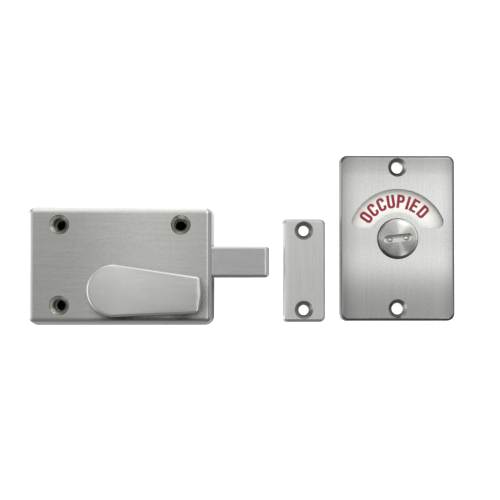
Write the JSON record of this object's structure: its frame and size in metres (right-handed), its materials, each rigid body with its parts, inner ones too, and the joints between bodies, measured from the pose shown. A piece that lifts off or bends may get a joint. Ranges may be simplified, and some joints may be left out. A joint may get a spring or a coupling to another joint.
{
  "type": "toilet indicator bolt",
  "caption": "Lever-worked rim bolt for a toilet door, with its flat keep plate and a coin-turn indicator plate whose disc shows through an arched window.",
  "frame": {"origin": "middle of the set's outline, on the plane that all three backs lie on", "axes": "+X along the throw of the bolt, from the lock to the indicator plate; +Y up the plates' height; +Z out of the faces"},
  "size_m": [0.184, 0.0734, 0.0255],
  "materials": {
    "case_satin": "satin chrome with a fine lengthwise grain",
    "lever_satin": "satin chrome, softly polished edges",
    "bolt_satin": "satin chrome",
    "plate_satin": "satin chrome brushed up and down",
    "turn_satin": "satin chrome, turned",
    "disc_enamel": "cream enamel",
    "nylon": "natural nylon",
    "sheet_steel": "zinc-plated sheet",
    "bright_steel": "bright steel",
    "spring_steel": "spring steel",
    "pinion_steel": "sintered steel, lightly oiled"
  },
  "bodies": {
    "fixed_set": {"lock_case": "case_satin", "back_plate": "sheet_steel", "back_plate_screws": "bright_steel", "lever_bush": "nylon", "bolt_stop_pin": "bright_steel", "bolt_spring": "spring_steel", "spring_rivet": "bright_steel", "keep_plate": "plate_satin", "indicator_plate": "plate_satin"},
    "sliding_bolt": {"bolt": "bolt_satin"},
    "lever_group": {"lever": "lever_satin", "drive_pinion": "pinion_steel", "pinion_washer": "spring_steel", "pinion_circlip": "spring_steel"},
    "turn_group": {"coin_turn": "turn_satin", "turn_washer": "nylon", "indicator_disc": "disc_enamel", "clinch_plate": "sheet_steel", "turn_rivets": "bright_steel"}
  },
  "joints": [
    {"name": "lever_turn", "type": "hinge", "parent": "fixed_set", "child": "lever_group", "pos_m": [-0.05478, -0.0219, 0.018], "axis": [0, 0, 1], "range_deg": [0, 180]},
    {"name": "bolt_slide", "type": "slide", "parent": "fixed_set", "child": "sliding_bolt", "axis": [1, 0, 0], "range_m": [-0.02357, 0]},
    {"name": "indicator_turn", "type": "hinge", "parent": "fixed_set", "child": "turn_group", "pos_m": [0.06698, 0.0005, 0.005], "axis": [0, 0, 1], "range_deg": [-180, 0]}
  ],
  "couplings": [
    {"joint": "bolt_slide", "follows": "lever_turn", "m_per_rad": -0.0075},
    {"joint": "indicator_turn", "follows": "lever_turn", "ratio": -1}
  ]
}
